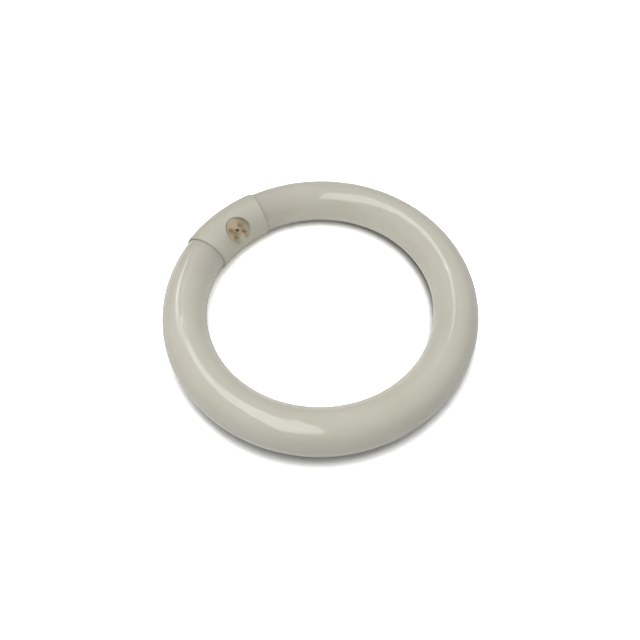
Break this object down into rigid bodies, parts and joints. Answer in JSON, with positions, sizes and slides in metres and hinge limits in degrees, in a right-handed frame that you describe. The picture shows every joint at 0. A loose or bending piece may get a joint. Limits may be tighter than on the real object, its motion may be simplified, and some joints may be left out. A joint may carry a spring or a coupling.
{
  "type": "circular fluorescent tube",
  "caption": "Ring-shaped fluorescent lamp: a white-coated glass tube whose ends meet in a plastic cap with a well of brass contact pins for a plug-on connector.",
  "frame": {"origin": "centre of the ring, in the plane of the tube's centre line", "axes": "+Z along the ring's axis, up as it lies; +Y from the centre to the cap; the pins point inwards and up"},
  "size_m": [0.2096, 0.2108, 0.0314],
  "materials": {
    "coated_glass": "glossy clear glass over an opaque white phosphor coat",
    "cap_plastic": "satin off-white moulding",
    "pin_brass": "dull brass",
    "lead_wire": "plain nickel wire"
  },
  "bodies": {
    "root": {"glass_tube": "coated_glass", "cap_pin_half": "cap_plastic", "cap_back_half": "cap_plastic", "contact_pin_1": "pin_brass", "contact_pin_2": "pin_brass", "contact_pin_3": "pin_brass", "contact_pin_4": "pin_brass", "lead_wire_1": "lead_wire", "lead_wire_2": "lead_wire", "lead_wire_3": "lead_wire", "lead_wire_4": "lead_wire"}
  },
  "joints": []
}
